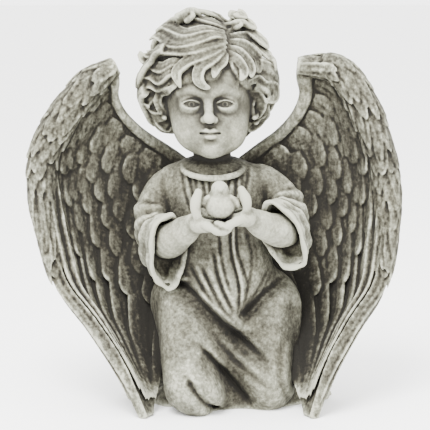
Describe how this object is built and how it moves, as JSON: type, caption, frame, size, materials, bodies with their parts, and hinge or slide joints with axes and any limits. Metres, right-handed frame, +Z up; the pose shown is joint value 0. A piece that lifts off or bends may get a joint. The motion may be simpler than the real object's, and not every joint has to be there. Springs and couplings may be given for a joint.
{
  "type": "cherub garden statue",
  "caption": "Cast-stone garden statue of a kneeling winged child in a long robe, holding a small bird in cupped hands, standing on its flat underside.",
  "frame": {"origin": "on the ground under the kneeling figure, at the middle of its flat underside", "axes": "+Z up, the figure faces -Y, and +X is to the right as one looks at its face"},
  "size_m": [0.3033, 0.149, 0.33],
  "materials": {
    "cast_stone": "rough matt cast stone, dark grey-green patina in the hollows and pale worn ridges"
  },
  "bodies": {
    "root": {"cherub_statue": "cast_stone"}
  },
  "joints": []
}
